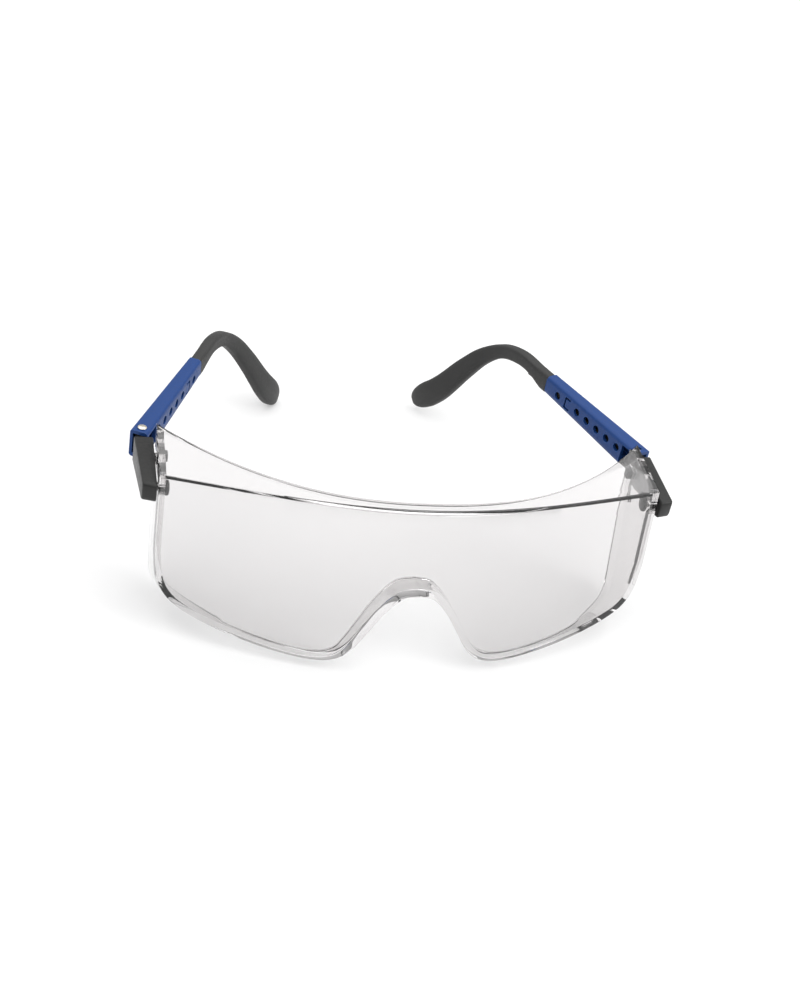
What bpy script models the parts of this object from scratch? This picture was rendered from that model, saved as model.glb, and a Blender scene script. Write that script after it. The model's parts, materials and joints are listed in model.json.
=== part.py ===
"""Safety goggles: a one-piece clear lens with side shields, and two temples.

Each temple is a hinge block that tilts on the lens by a pivot pin, a sleeve that folds on the
block by a hinge screw, and an arm (slider and ear hook) that slides in the sleeve for length.
Metres, +Z up, +X to the wearer's left, front of the lens towards -Y. The goggles stand on the
lens's lower rim and on the tips of the two ear hooks.
"""

import math

import bmesh
import bpy
from mathutils import Matrix, Vector

MM = 0.001

# Lens, in its own frame: x across, b backwards, h up along the leaning front panel.
LENS_LEAN = math.radians(13.2)
LENS_BASE_Y = -53.3
LENS_BASE_Z = -0.19
LENS_HALF = 75.4
LENS_BULGE = 17.5
BULGE_QUARTIC = 0.285
BROW_H = 51.6
CORNER_H = 27.0
WALL = 2.1
PEAK_BACK = 22.9
SHIELD_FOOT = 23.0
PEAK_H = 57.0
SHELF_MIDDLE = 3.4
SHELF_MIDDLE_H = 52.3
SHELF_POWER = 2.4

# Temple hardware, level with the temple: y backwards and z up from the tilt pivot.
TEMPLE_DROP = math.radians(-3.0)
TEMPLE_SKEW = math.radians(0.5)
PIVOT_Y = -37.7
PIVOT_Z = 42.81
BLOCK_INNER = 76.0
BLOCK_END = 20.4
FOLD_X = 79.05
FOLD_Y = 24.8
INWARD = math.radians(23.8)
PIN_R = 1.2
PIN_HOLE_R = 1.55
PIN_HEAD_R = 2.3
PAWL_REACH = 14.45
PAWL_Z = -0.6
PAWL_HALF = 1.3
TILT_TRAVEL = math.radians(24.0)
SLOT_SPARE = 0.45
SLOT_STEPS = 12

# Sleeve, along its own length from the fold axis.
SLEEVE_FRONT = -2.3
SLEEVE_REAR = 45.4
SLEEVE_TOP = 3.1
FRONT_BOTTOM = -6.2
REAR_BOTTOM = -3.9
FRONT_HALF = 2.85
REAR_HALF = 2.15
PLATE = 1.1
CLEVIS_LENGTH = 6.9
OUTER_WALL = 0.85
BORE_HALF = 1.2
BORE_TALL_HALF = 2.3
BORE_Z = -0.5
HOLE_R = 1.25
HOLE_PITCH = 5.25
FIRST_HOLE = 38.6
LATCH_HALF = 2.2
SLIT = 0.55
SCREW_R = 0.75
SCREW_HOLE_R = 0.95
SCREW_HEAD_R = 1.35
KNUCKLE_R = 1.9
NECK_HALF = 1.4

# Arm: a slider strip inside the sleeve, and the ear hook moulded over its tail.
STRIP_HALF = 0.9
STRIP_TALL_HALF = 2.0
STRIP_FRONT = 7.5
STRIP_TAIL = 56.0
GROOVE_HALF = 0.95
GROOVE_DEPTH = 0.7
GAP = 0.3
TIP_START = 0.92
TIP_ROUNDING = 0.93

parts = None
cutters = None


def start_scene():
    """Empties the scene and makes the two collections."""
    global parts, cutters
    for obj in list(bpy.data.objects):
        bpy.data.objects.remove(obj, do_unlink=True)
    parts = bpy.data.collections.new("safety_goggles")
    cutters = bpy.data.collections.new("cutters")
    bpy.context.scene.collection.children.link(parts)
    bpy.context.scene.collection.children.link(cutters)


def material(name, colour, roughness, metallic=0.0, transmission=0.0):
    made = bpy.data.materials.new(name)
    made.use_nodes = True
    shader = made.node_tree.nodes["Principled BSDF"]
    shader.inputs["Base Color"].default_value = (*colour, 1.0)
    shader.inputs["Roughness"].default_value = roughness
    shader.inputs["Metallic"].default_value = metallic
    shader.inputs["Transmission Weight"].default_value = transmission
    return made


def mesh_from(name, build):
    """A mesh in millimetres drawn by build(bm), scaled to metres, its doubles merged."""
    bm = bmesh.new()
    build(bm)
    bmesh.ops.remove_doubles(bm, verts=bm.verts, dist=0.001)
    bmesh.ops.scale(bm, vec=(MM, MM, MM), verts=bm.verts)
    mesh = bpy.data.meshes.new(name)
    bm.to_mesh(mesh)
    bm.free()
    return mesh


def put(name, mesh, finish, parent=None):
    obj = bpy.data.objects.new(name, mesh)
    obj.parent = parent
    mesh.materials.append(finish)
    mesh.shade_smooth()
    mesh.set_sharp_from_angle(angle=math.radians(32.0))
    parts.objects.link(obj)
    return obj


def cutter(name, mesh, parent=None):
    obj = bpy.data.objects.new(name, mesh)
    obj.parent = parent
    obj.hide_render = True
    obj.display_type = "WIRE"
    cutters.objects.link(obj)
    return obj


def boolean(obj, other, operation="DIFFERENCE"):
    change = obj.modifiers.new(other.name, "BOOLEAN")
    change.operation = operation
    change.solver = "EXACT"
    change.object = other


def box(low, high):
    """A drawing function for a box between two corners."""
    low = Vector(low)
    high = Vector(high)

    def build(bm):
        middle = Matrix.Translation((low + high) / 2.0)
        size = Matrix.Diagonal((*(high - low), 1.0))
        bmesh.ops.create_cube(bm, size=1.0, matrix=middle @ size)

    return build


def rod(radius, start, end, segments=32):
    """A drawing function for a cylinder between two points."""
    start = Vector(start)
    end = Vector(end)

    def build(bm):
        turn = (end - start).to_track_quat("Z", "Y").to_matrix().to_4x4()
        bmesh.ops.create_cone(
            bm,
            cap_ends=True,
            segments=segments,
            radius1=radius,
            radius2=radius,
            depth=(end - start).length,
            matrix=Matrix.Translation((start + end) / 2.0) @ turn,
        )

    return build


def plate_mesh(name, outline, thickness):
    """A flat outline of (y, z) points, extruded evenly along X, as a closed mesh."""
    curve = bpy.data.curves.new(name, "CURVE")
    curve.dimensions = "2D"
    curve.fill_mode = "BOTH"
    curve.extrude = thickness / 2.0
    spline = curve.splines.new("POLY")
    spline.points.add(len(outline) - 1)
    for point, (y, z) in zip(spline.points, outline):
        point.co = (y, z, 0.0, 1.0)
    spline.use_cyclic_u = True
    guide = bpy.data.objects.new(name, curve)
    bpy.context.scene.collection.objects.link(guide)
    drawn = guide.evaluated_get(bpy.context.evaluated_depsgraph_get())
    mesh = bpy.data.meshes.new_from_object(drawn)
    bpy.data.objects.remove(guide, do_unlink=True)
    bm = bmesh.new()
    bm.from_mesh(mesh)
    bmesh.ops.remove_doubles(bm, verts=bm.verts, dist=0.001)
    upright = Matrix(((0, 0, 1, 0), (1, 0, 0, 0), (0, 1, 0, 0), (0, 0, 0, 1)))
    bmesh.ops.transform(bm, matrix=upright, verts=bm.verts)
    bmesh.ops.scale(bm, vec=(MM, MM, MM), verts=bm.verts)
    bmesh.ops.recalc_face_normals(bm, faces=bm.faces)
    bm.to_mesh(mesh)
    bm.free()
    return mesh


def mirrored(obj, name, parent):
    """The finished shape of a right-hand piece, turned into its left-hand twin."""
    drawn = obj.evaluated_get(bpy.context.evaluated_depsgraph_get())
    mesh = bpy.data.meshes.new_from_object(drawn)
    bm = bmesh.new()
    bm.from_mesh(mesh)
    bmesh.ops.scale(bm, vec=(-1.0, 1.0, 1.0), verts=bm.verts)
    bmesh.ops.reverse_faces(bm, faces=bm.faces)
    bm.to_mesh(mesh)
    bm.free()
    twin = bpy.data.objects.new(name, mesh)
    twin.parent = parent
    parts.objects.link(twin)
    return twin


def bevel(obj, width, angle=40.0, segments=2):
    change = obj.modifiers.new("rounded edges", "BEVEL")
    change.width = width * MM
    change.segments = segments
    change.limit_method = "ANGLE"
    change.angle_limit = math.radians(angle)


def eased(stations, where):
    """The value at a place among (place, value) stations, eased from each to the next."""
    if where <= stations[0][0]:
        return stations[0][1]
    for (a, first), (b, second) in zip(stations, stations[1:]):
        if where <= b:
            t = (where - a) / (b - a)
            return first + (second - first) * t * t * (3.0 - 2.0 * t)
    return stations[-1][1]


def spline_point(points, where):
    """A point on the smooth curve through the points; where runs from 0 to 1."""
    spans = len(points) - 1
    k = min(int(where * spans), spans - 1)
    t = where * spans - k
    a = Vector(points[max(k - 1, 0)])
    b = Vector(points[k])
    c = Vector(points[k + 1])
    d = Vector(points[min(k + 2, spans)])
    slope_b = (c - a) / 2.0 if k > 0 else c - b
    slope_c = (d - b) / 2.0 if k + 2 <= spans else c - b
    return (
        b * (2.0 * t**3 - 3.0 * t**2 + 1.0)
        + slope_b * (t**3 - 2.0 * t**2 + t)
        + c * (3.0 * t**2 - 2.0 * t**3)
        + slope_c * (t**3 - t**2)
    )


# ---------------------------------------------------------------- lens


def lens_place(x, b, h):
    """Lens frame to world, in millimetres."""
    y = LENS_BASE_Y + b * math.cos(LENS_LEAN) + h * math.sin(LENS_LEAN)
    z = LENS_BASE_Z - b * math.sin(LENS_LEAN) + h * math.cos(LENS_LEAN)
    return Vector((x, y, z))


def front_b(x):
    """How far back the curved front panel is at x: the middle stands forward by the bulge."""
    t = abs(x) / LENS_HALF
    return -LENS_BULGE * (1.0 - t * t * (1.0 + BULGE_QUARTIC * (1.0 - t * t)))


# The lower rim from the middle of the nose notch to the foot of the corner ridge, and the wall
# that stands behind it: x and h on the front panel, then how far its rear edge lies out, back and up.
RIM = [
    (0.0, 23.6, 0.0, 9.5, 0.0),
    (4.6, 22.6, 0.0, 9.4, 0.0),
    (9.2, 17.8, 0.0, 8.8, 0.0),
    (13.5, 11.0, 0.0, 8.0, 0.0),
    (17.6, 4.6, 0.0, 6.6, 0.0),
    (22.5, 0.9, 0.0, 4.6, 0.0),
    (30.0, 0.0, 0.0, 3.4, 0.0),
    (42.0, 1.6, 0.0, 3.6, 0.0),
    (55.0, 4.8, 0.4, 6.0, -0.6),
    (65.5, 8.9, 1.5, 13.5, -3.4),
    (71.2, 12.9, 1.6, 19.0, -6.2),
    (74.2, 18.6, 0.8, 21.6, -9.0),
    (LENS_HALF, CORNER_H, 0.0, SHIELD_FOOT, -9.0),
]
SHIELD_DEPTH = [(CORNER_H, SHIELD_FOOT), (38.0, 24.6), (BROW_H, PEAK_BACK)]
SHIELD_RISE = [(CORNER_H, -9.0), (38.0, -1.0), (BROW_H, PEAK_H - BROW_H)]


def lens_surface(bm, across=44, rows=6, back=4):
    """The outer skin: front panel, brow shelf above it, and the rim and shields behind it."""
    side = [spline_point(RIM, i / across) for i in range(across + 1)]
    left = [(-x, h, -out, deep, rise) for x, h, out, deep, rise in reversed(side)]
    rim = left + [tuple(point) for point in side[1:]]

    def grid(points):
        verts = [[bm.verts.new(p) for p in line] for line in points]
        for one, two in zip(verts, verts[1:]):
            for a, b, c, d in zip(one, two, two[1:], one[1:]):
                bm.faces.new((a, b, c, d))

    def up(low, j):
        return low + (BROW_H - low) * j / rows

    panel = []
    shelf = []
    for x, low, *_ in rim:
        start = front_b(x)
        panel.append([lens_place(x, start, up(low, j)) for j in range(rows + 1)])
        t = abs(x) / LENS_HALF
        middle = SHELF_MIDDLE - LENS_BULGE
        deep = middle + (PEAK_BACK - middle) * t**SHELF_POWER - start
        rise = SHELF_MIDDLE_H - BROW_H + (PEAK_H - SHELF_MIDDLE_H) * t * t
        line = [i / back for i in range(back + 1)]
        shelf.append([lens_place(x, start + deep * i, BROW_H + rise * i) for i in line])
    grid(panel)
    grid(shelf)

    shield = []
    for j in range(rows, 0, -1):
        h = up(CORNER_H, j)
        shield.append((LENS_HALF, h, 0.0, eased(SHIELD_DEPTH, h), eased(SHIELD_RISE, h)))
    skirt = [(-x, h, -out, deep, rise) for x, h, out, deep, rise in shield] + rim + shield[::-1]
    lines = []
    for x, h, out, deep, rise in skirt:
        line = [i / back for i in range(back + 1)]
        lines.append([lens_place(x + out * i, front_b(x) + deep * i, h + rise * i) for i in line])
    grid(lines)
    bmesh.ops.remove_doubles(bm, verts=bm.verts, dist=0.001)
    bmesh.ops.recalc_face_normals(bm, faces=bm.faces)
    bm.faces.ensure_lookup_table()
    front = min(bm.faces, key=lambda face: face.calc_center_median().y)
    if front.normal.y > 0.0:
        bmesh.ops.reverse_faces(bm, faces=bm.faces)


def slot_outline():
    """World (y, z) points of the arc slot that the pawl travels in, as the block tilts."""
    start = math.atan2(PAWL_Z, PAWL_REACH) + TEMPLE_DROP
    radius = math.hypot(PAWL_Z, PAWL_REACH)
    inner = radius - PAWL_HALF - SLOT_SPARE
    outer = radius + PAWL_HALF + SLOT_SPARE
    ends = (PAWL_HALF + SLOT_SPARE) / inner
    sweep = TILT_TRAVEL + 2.0 * ends
    angles = [start + ends - sweep * i / SLOT_STEPS for i in range(SLOT_STEPS + 1)]
    near = [(PIVOT_Y + inner * math.cos(a), PIVOT_Z + inner * math.sin(a)) for a in angles]
    far = [(PIVOT_Y + outer * math.cos(a), PIVOT_Z + outer * math.sin(a)) for a in angles]
    return near + far[::-1]


def make_lens(finish):
    mesh = mesh_from("lens", lens_surface)
    lens = put("lens", mesh, finish)
    wall = lens.modifiers.new("wall", "SOLIDIFY")
    wall.thickness = WALL * MM
    wall.offset = -1.0
    wall.use_even_offset = True
    wall.use_quality_normals = True
    reach = LENS_HALF + 4.0
    pivot = (PIVOT_Y, PIVOT_Z)
    hole = rod(PIN_HOLE_R, (-reach, *pivot), (reach, *pivot))
    boolean(lens, cutter("pivot_hole", mesh_from("pivot_hole", hole)))
    slot = plate_mesh("pawl_slot", slot_outline(), 2.0 * reach)
    boolean(lens, cutter("pawl_slot", slot))
    return lens


# ---------------------------------------------------------------- hinge block


def block_profile():
    """Side outline, (y, z) from the tilt pivot: a level bar with a blunt, rounded nose."""
    nose = [(-5.0, 4.9), (-5.6, 4.2), (-5.8, 0.4), (-5.3, -0.9), (-4.1, -1.7)]
    return nose + [(BLOCK_END, -5.6), (BLOCK_END, SLEEVE_TOP)]


def make_block(finish, frame):
    """A bar beside the lens: its outer face leans in towards the nose, its inner face is flat."""
    thick = 6.0
    mesh = plate_mesh("hinge_block", block_profile(), thick)
    for vertex in mesh.vertices:
        y = vertex.co.y / MM
        outer = vertex.co.x > 0.0
        if outer:
            vertex.co.x = (4.1 + 1.5 * max(0.0, y + 5.0) / 25.0) * MM
        else:
            vertex.co.x = 0.0
        if not outer and y < -4.5:
            vertex.co.y -= 1.2 * MM
    block = put("hinge_block_right", mesh, finish, frame)
    bevel(block, 0.35)
    fold = (FOLD_X - BLOCK_INNER, FOLD_Y)
    knuckle_low = FRONT_BOTTOM + PLATE + GAP
    knuckle_high = SLEEVE_TOP - PLATE - GAP
    neck = box(
        (fold[0] - NECK_HALF, BLOCK_END - 1.0, knuckle_low),
        (fold[0] + NECK_HALF, FOLD_Y, knuckle_high),
    )
    boolean(block, cutter("neck", mesh_from("neck", neck), frame), "UNION")
    knuckle = rod(KNUCKLE_R, (*fold, knuckle_low), (*fold, knuckle_high))
    boolean(block, cutter("knuckle", mesh_from("knuckle", knuckle), frame), "UNION")
    pawl = box(
        (-4.2, PAWL_REACH - PAWL_HALF, PAWL_Z - PAWL_HALF),
        (1.0, PAWL_REACH + PAWL_HALF, PAWL_Z + PAWL_HALF),
    )
    boolean(block, cutter("pawl", mesh_from("pawl", pawl), frame), "UNION")
    pin_hole = rod(PIN_R + GAP, (-1.0, 0.0, 0.0), (3.0, 0.0, 0.0))
    boolean(block, cutter("pin_hole", mesh_from("pin_hole", pin_hole), frame))
    screw_hole = rod(SCREW_HOLE_R, (*fold, -12.0), (*fold, 12.0))
    boolean(block, cutter("knuckle_hole", mesh_from("knuckle_hole", screw_hole), frame))
    return block


def make_pin(finish, frame):
    """Headed pin put in from inside the lens: round head, shank through the wall."""
    inner_wall = LENS_HALF - WALL - BLOCK_INNER
    face = inner_wall - GAP
    shank = rod(PIN_R, (face - 0.6, 0.0, 0.0), (2.6, 0.0, 0.0))
    pin = put("pivot_pin_right", mesh_from("pivot_pin", shank), finish, frame)
    head = mesh_from("pin_head", rod(PIN_HEAD_R, (face - 1.2, 0.0, 0.0), (face, 0.0, 0.0)))
    boolean(pin, cutter("pin_head", head, frame), "UNION")
    return pin


# ---------------------------------------------------------------- temple sleeve


def sleeve_section(y):
    """Corner points (x, z) of the sleeve at y: flat top, broad inner chamfer, round foot."""
    t = (y - SLEEVE_FRONT) / (SLEEVE_REAR - SLEEVE_FRONT)
    half = FRONT_HALF + (REAR_HALF - FRONT_HALF) * t
    low = FRONT_BOTTOM + (REAR_BOTTOM - FRONT_BOTTOM) * t
    top = SLEEVE_TOP
    return [
        (-half + 1.0, top),
        (-half + 0.25, top - 0.45),
        (-half, top - 1.3),
        (-half, low + 1.9),
        (-half + 0.4, low + 0.8),
        (-half + 1.5, low),
        (half - 0.6, low),
        (half, low + 0.6),
        (half, top - 0.5),
        (half - 0.4, top),
    ]


def sleeve_body(bm):
    """A loft between the wide front section and the slim rear one."""
    rings = []
    for y in (SLEEVE_FRONT, SLEEVE_REAR):
        rings.append([bm.verts.new((x, y, z)) for x, z in sleeve_section(y)])
    front, rear = rings
    count = len(front)
    for k in range(count):
        n = (k + 1) % count
        bm.faces.new((front[k], front[n], rear[n], rear[k]))
    bm.faces.new(front[::-1])
    bm.faces.new(rear)
    bmesh.ops.recalc_face_normals(bm, faces=bm.faces)


def latch_slit():
    """C-shaped slit, (y, z): its tongue stays joined to the sleeve on the front side."""
    rear = FIRST_HOLE - HOLE_PITCH + 1.45
    front = FIRST_HOLE - HOLE_PITCH - 1.45
    top = BORE_Z + LATCH_HALF
    low = BORE_Z - LATCH_HALF
    return [
        (front, top),
        (rear, top),
        (rear, low),
        (front, low),
        (front, low + SLIT),
        (rear - SLIT, low + SLIT),
        (rear - SLIT, top - SLIT),
        (front, top - SLIT),
    ]


def make_sleeve(finish, frame):
    sleeve = put("temple_sleeve_right", mesh_from("temple_sleeve", sleeve_body), finish, frame)
    bore = box(
        (-BORE_HALF, 2.0, BORE_Z - BORE_TALL_HALF),
        (BORE_HALF, SLEEVE_REAR + 1.0, BORE_Z + BORE_TALL_HALF),
    )
    boolean(sleeve, cutter("sleeve_bore", mesh_from("sleeve_bore", bore), frame))
    clevis_end = SLEEVE_FRONT + CLEVIS_LENGTH
    clevis = box(
        (-FRONT_HALF - 1.0, SLEEVE_FRONT - 1.0, FRONT_BOTTOM + PLATE),
        (FRONT_HALF - OUTER_WALL, clevis_end, SLEEVE_TOP - PLATE),
    )
    boolean(sleeve, cutter("clevis", mesh_from("clevis", clevis), frame))
    for k in (0, 2, 3, 4, 5, 6):
        y = FIRST_HOLE - HOLE_PITCH * k
        hole = rod(HOLE_R, (-FRONT_HALF - 1.0, y, BORE_Z), (0.0, y, BORE_Z), 24)
        boolean(sleeve, cutter(f"strap_hole_{k}", mesh_from("strap_hole", hole), frame))
    slit = plate_mesh("latch_slit", latch_slit(), 3.0)
    for vertex in slit.vertices:
        vertex.co.x -= 2.0 * MM
    boolean(sleeve, cutter("latch_slit", slit, frame))
    nib_y = FIRST_HOLE - HOLE_PITCH
    nib = box(
        (-BORE_HALF - 0.4, nib_y - 0.45, BORE_Z - 0.5),
        (-BORE_HALF + 0.55, nib_y + 0.45, BORE_Z + 0.5),
    )
    boolean(sleeve, cutter("latch_nib", mesh_from("latch_nib", nib), frame), "UNION")
    screw_hole = rod(SCREW_HOLE_R, (0.0, 0.0, -12.0), (0.0, 0.0, 12.0))
    boolean(sleeve, cutter("sleeve_screw_hole", mesh_from("screw_hole", screw_hole), frame))
    return sleeve


def make_screw(name, finish, frame, head_up):
    """Hinge screw: a low round head on one plate, its end just short of the other."""
    top = SLEEVE_TOP if head_up else -FRONT_BOTTOM
    low = FRONT_BOTTOM if head_up else -SLEEVE_TOP
    way = 1.0 if head_up else -1.0
    shank = rod(SCREW_R, (0, 0, way * (low + 0.5)), (0, 0, way * (top + 0.4)), 24)
    screw = put(name, mesh_from(name, shank), finish, frame)
    head = rod(SCREW_HEAD_R, (0, 0, way * (top + 0.1)), (0, 0, way * (top + 0.6)), 24)
    boolean(screw, cutter(name + "_head", mesh_from("screw_head", head), frame), "UNION")
    return screw


# ---------------------------------------------------------------- arm


def make_slider(finish, frame):
    """Flat strip with a groove and five dimples that the latch nib runs in."""
    strip = box(
        (-STRIP_HALF, STRIP_FRONT, BORE_Z - STRIP_TALL_HALF),
        (STRIP_HALF, STRIP_TAIL, BORE_Z + STRIP_TALL_HALF),
    )
    slider = put("temple_slider_right", mesh_from("temple_slider", strip), finish, frame)
    nib_y = FIRST_HOLE - HOLE_PITCH
    groove = box(
        (-STRIP_HALF - 1.0, nib_y - 3.0 * HOLE_PITCH - 1.2, BORE_Z - GROOVE_HALF),
        (-STRIP_HALF + GROOVE_DEPTH, nib_y + 1.2, BORE_Z + GROOVE_HALF),
    )
    boolean(slider, cutter("strip_groove", mesh_from("strip_groove", groove), frame))
    for k in range(4):
        y = nib_y - HOLE_PITCH * k
        dimple = rod(0.8, (-STRIP_HALF - 1.0, y, BORE_Z), (-STRIP_HALF + 1.0, y, BORE_Z), 16)
        boolean(slider, cutter(f"dimple_{k}", mesh_from("dimple", dimple), frame))
    return slider


HOOK_PATH = [
    (0.0, 45.7, -0.5),
    (0.0, 52.0, -0.5),
    (0.0, 61.1, -0.1),
    (-0.9, 70.3, -2.2),
    (-3.6, 77.0, -7.5),
    (-7.7, 81.5, -15.1),
    (-12.8, 86.8, -25.7),
    (-16.0, 96.0, -35.6),
]
HOOK_HALF_HEIGHT = [(0.0, 3.2), (0.07, 3.1), (0.2, 2.5), (0.45, 2.4), (0.75, 3.4), (0.9, 5.0), (1.0, 4.4)]
HOOK_HALF_WIDTH = [(0.0, 1.85), (0.3, 2.2), (0.7, 2.1), (1.0, 2.6)]
HOOK_SAG = [(0.0, 0.05), (0.07, 0.0), (0.2, 0.75), (0.4, 0.2), (1.0, 0.0)]


def hook_body(bm, sections=34, around=16):
    """A loft of rounded sections along the hook's path, drawn in to a round paddle tip."""
    rings = []
    for i in range(sections + 1):
        where = i / sections
        centre = spline_point(HOOK_PATH, where)
        ahead = spline_point(HOOK_PATH, min(where + 0.01, 1.0))
        behind = spline_point(HOOK_PATH, max(where - 0.01, 0.0))
        along = (ahead - behind).normalized()
        rise = Vector((1.0, 0.0, 0.0)).cross(along).normalized()
        aside = along.cross(rise)
        tall = eased(HOOK_HALF_HEIGHT, where)
        wide = eased(HOOK_HALF_WIDTH, where)
        if where > TIP_START:
            t = (where - TIP_START) / (1.0 - TIP_START)
            shrink = math.sqrt(1.0 - TIP_ROUNDING * t * t)
            tall *= shrink
            wide *= shrink
        centre = centre + rise * eased(HOOK_SAG, where)
        ring = []
        for k in range(around):
            a = 2.0 * math.pi * k / around
            c = math.copysign(abs(math.cos(a)) ** 0.6, math.cos(a))
            s = math.copysign(abs(math.sin(a)) ** 0.6, math.sin(a))
            ring.append(bm.verts.new(centre + aside * wide * c + rise * tall * s))
        rings.append(ring)
    for one, two in zip(rings, rings[1:]):
        for k in range(around):
            n = (k + 1) % around
            bm.faces.new((one[k], one[n], two[n], two[k]))
    bm.faces.new(rings[0][::-1])
    bm.faces.new(rings[-1])
    bmesh.ops.recalc_face_normals(bm, faces=bm.faces)


def make_hook(finish, frame):
    hook = put("ear_hook_right", mesh_from("ear_hook", hook_body), finish, frame)
    socket = box(
        (-STRIP_HALF - GAP, 40.0, BORE_Z - STRIP_TALL_HALF - 0.15),
        (STRIP_HALF + GAP, STRIP_TAIL + GAP, BORE_Z + STRIP_TALL_HALF + 0.15),
    )
    boolean(hook, cutter("hook_socket", mesh_from("hook_socket", socket), frame))
    return hook


# ---------------------------------------------------------------- assembly


def axis_frame(name, place, parent=None, turn=(0.0, 0.0, 0.0)):
    """An empty on a joint's axis, which the pieces that move about it are parented to."""
    empty = bpy.data.objects.new(name, None)
    empty.location = [value * MM for value in place]
    empty.rotation_euler = turn
    empty.parent = parent
    parts.objects.link(empty)
    return empty


def side_frames(side):
    name = "right" if side > 0 else "left"
    tilt = axis_frame(
        name + "_tilt_axis",
        (side * BLOCK_INNER, PIVOT_Y, PIVOT_Z),
        None,
        (TEMPLE_DROP + side * TEMPLE_SKEW, 0.0, 0.0),
    )
    fold = axis_frame(
        name + "_fold_axis",
        (side * (FOLD_X - BLOCK_INNER), FOLD_Y, 0.0),
        tilt,
        (0.0, 0.0, side * INWARD),
    )
    return tilt, fold


def main():
    start_scene()
    clear = material("clear_polycarbonate", (0.95, 0.96, 0.97), 0.04, transmission=1.0)
    black = material("black_nylon", (0.045, 0.045, 0.045), 0.45)
    blue = material("blue_nylon", (0.035, 0.095, 0.33), 0.4)
    rubber = material("charcoal_elastomer", (0.06, 0.06, 0.06), 0.65)
    steel = material("plated_steel", (0.8, 0.79, 0.76), 0.25, 1.0)
    make_lens(clear)
    tilt, fold = side_frames(1)
    left_tilt, left_fold = side_frames(-1)
    bpy.context.view_layer.update()
    right_hand = [
        (make_block(black, tilt), left_tilt),
        (make_pin(black, tilt), left_tilt),
        (make_sleeve(blue, fold), left_fold),
        (make_slider(black, fold), left_fold),
        (make_hook(rubber, fold), left_fold),
    ]
    bpy.context.view_layer.update()
    for piece, frame in right_hand:
        mirrored(piece, piece.name.replace("right", "left"), frame)
    make_screw("hinge_screw_right", steel, fold, head_up=False)
    make_screw("hinge_screw_left", steel, left_fold, head_up=True)


main()
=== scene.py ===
"""The looks of a pair of safety goggles: clear one-piece lens, blue temples, charcoal ear hooks.

The goggles are put together in the order in which they are assembled: the lens, the hinge blocks
with their pins, the temple sleeves with their screws, then the sliders and the ear hooks.
"""

import json
import math

import bmesh
import bpy
import numpy as np
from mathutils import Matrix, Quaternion, Vector


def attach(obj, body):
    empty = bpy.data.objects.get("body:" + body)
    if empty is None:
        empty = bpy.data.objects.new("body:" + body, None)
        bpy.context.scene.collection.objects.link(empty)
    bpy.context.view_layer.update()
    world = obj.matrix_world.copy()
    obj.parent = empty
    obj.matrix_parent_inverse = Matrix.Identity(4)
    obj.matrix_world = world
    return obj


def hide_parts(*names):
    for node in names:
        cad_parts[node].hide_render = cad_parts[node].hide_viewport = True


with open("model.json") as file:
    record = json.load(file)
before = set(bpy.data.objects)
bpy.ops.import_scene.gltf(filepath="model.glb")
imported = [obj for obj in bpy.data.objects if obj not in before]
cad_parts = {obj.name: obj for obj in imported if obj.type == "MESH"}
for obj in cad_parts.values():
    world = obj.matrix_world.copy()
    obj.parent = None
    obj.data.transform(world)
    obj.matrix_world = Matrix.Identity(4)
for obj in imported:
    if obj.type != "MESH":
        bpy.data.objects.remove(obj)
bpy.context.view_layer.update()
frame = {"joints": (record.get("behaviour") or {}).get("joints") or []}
joints = {joint["name"]: joint for joint in frame["joints"]}

# ---------------------------------------------------------------- lens
# One clear polycarbonate moulding: a bulged front panel, the brow shelf and side shields behind
# it, and the flange round the nose notch. The walls are even, with edges rounded by the mould.
# Each side wall has a round pivot hole and an arc slot for the hinge block's pawl.

MM = 0.001
LENS_LEAN = math.radians(13.2)
LENS_BASE_Y = -53.3
LENS_BASE_Z = -0.19
LENS_HALF = 75.4
LENS_BULGE = 17.5
BULGE_QUARTIC = 0.285
BROW_H = 51.6
CORNER_H = 27.0
LENS_WALL = 2.1
LENS_ROUNDING = 0.42
PEAK_BACK = 22.9
PEAK_H = 57.0
SHIELD_FOOT = 23.0
SHELF_MIDDLE = 3.4
SHELF_MIDDLE_H = 52.3
SHELF_POWER = 2.4
LENS_ACROSS = 130
LENS_ROWS = 8
LENS_BACK = 4
PIVOT_HOLE_R = 1.55
PAWL_REACH = 14.45
PAWL_Z = -0.6
PAWL_HALF = 1.3
SLOT_SPARE = 0.45
SLOT_TRAVEL = math.radians(24.0)
SLOT_STEPS = 24
SLOT_DROP = math.radians(-3.0)
CUTTER_REACH = LENS_HALF + 4.0
LENS_SMOOTH_BELOW = 30.0
LENS_COLOUR = (0.79, 0.777, 0.777)
LENS_INDEX = 1.585

# The lower rim from the middle of the nose notch to the foot of the corner ridge: x and h on the
# panel, then how far the rear edge of the wall behind it lies out, back and up.
RIM = [
    (0.0, 23.6, 0.0, 9.5, 0.0),
    (4.6, 22.6, 0.0, 9.4, 0.0),
    (9.2, 17.8, 0.0, 8.8, 0.0),
    (13.5, 11.0, 0.0, 8.0, 0.0),
    (17.6, 4.6, 0.0, 6.6, 0.0),
    (22.5, 0.9, 0.0, 4.6, 0.0),
    (30.0, 0.0, 0.0, 3.4, 0.0),
    (42.0, 1.6, 0.0, 3.6, 0.0),
    (55.0, 4.8, 0.4, 6.0, -0.6),
    (65.5, 8.9, 1.5, 13.5, -3.4),
    (71.2, 12.9, 1.6, 19.0, -6.2),
    (74.2, 18.6, 0.8, 21.6, -9.0),
    (LENS_HALF, CORNER_H, 0.0, SHIELD_FOOT, -9.0),
]
SHIELD_DEPTH = [(CORNER_H, SHIELD_FOOT), (38.0, 24.6), (BROW_H, PEAK_BACK)]
SHIELD_RISE = [(CORNER_H, -9.0), (38.0, -1.0), (BROW_H, PEAK_H - BROW_H)]


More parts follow.
